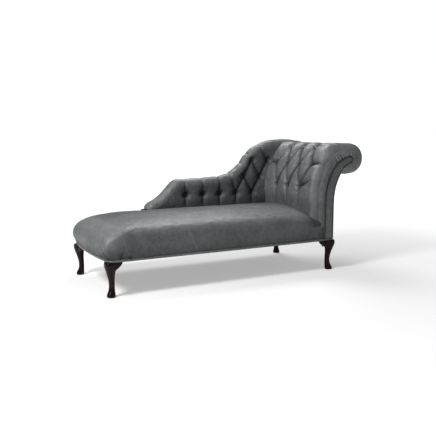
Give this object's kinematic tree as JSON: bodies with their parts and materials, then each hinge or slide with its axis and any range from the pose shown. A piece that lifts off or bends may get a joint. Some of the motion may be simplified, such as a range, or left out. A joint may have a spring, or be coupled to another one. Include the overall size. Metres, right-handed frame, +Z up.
{
  "type": "chaise longue",
  "caption": "Leather chaise longue with one deep buttoned scroll end, a low swept buttoned back and four cabriole legs.",
  "frame": {"origin": "on the floor, under the middle of the whole piece", "axes": "+X from the foot end to the scroll end, +Y from the open front to the low back, +Z up"},
  "size_m": [1.843, 0.6906, 0.8497],
  "materials": {
    "leather": "worn mid grey, waxed",
    "mahogany": "polished dark mahogany",
    "frame_wood": "sawn beech",
    "stuffing": "matt",
    "lining": "coarse weave",
    "dust_cloth": "matt black",
    "spring_steel": "plain",
    "nail_bronze": "antique dark"
  },
  "bodies": {
    "root": {"arm_button_twine": "lining", "arm_buttons": "leather", "arm_inside_cover": "leather", "arm_outside_cover": "leather", "arm_outside_wadding": "stuffing", "arm_stuffing": "stuffing", "arm_webbing": "lining", "back_board": "frame_wood", "back_button_twine": "lining", "back_buttons": "leather", "back_inside_cover": "leather", "back_lining": "lining", "back_outside_cover": "leather", "back_stuffing": "stuffing", "bottom_band": "leather", "corner_block_screws": "spring_steel", "corner_blocks": "frame_wood", "cross_rail_1": "frame_wood", "cross_rail_2": "frame_wood", "dust_cover": "dust_cloth", "dust_cover_tacks": "spring_steel", "facing_board": "frame_wood", "facing_leather": "leather", "facing_nails": "nail_bronze", "foot_end_rail": "frame_wood", "frame_dowels": "frame_wood", "front_scroll_post": "frame_wood", "front_seat_rail": "frame_wood", "head_end_rail": "frame_wood", "knee_brackets_front_left": "mahogany", "knee_brackets_front_right": "mahogany", "knee_brackets_rear_left": "mahogany", "knee_brackets_rear_right": "mahogany", "leg_bolt_nuts": "spring_steel", "leg_bolt_washers": "spring_steel", "leg_bolts": "spring_steel", "leg_front_left": "mahogany", "leg_front_right": "mahogany", "leg_rear_left": "mahogany", "leg_rear_right": "mahogany", "rail_wadding": "stuffing", "rear_scroll_post": "frame_wood", "rear_seat_rail": "frame_wood", "scroll_lower_rail": "frame_wood", "scroll_middle_rail": "frame_wood", "scroll_roll_bar": "frame_wood", "seat_cover": "leather", "seat_foam": "stuffing", "seat_hessian": "lining", "seat_springs": "spring_steel", "spring_clips": "spring_steel"}
  },
  "joints": []
}
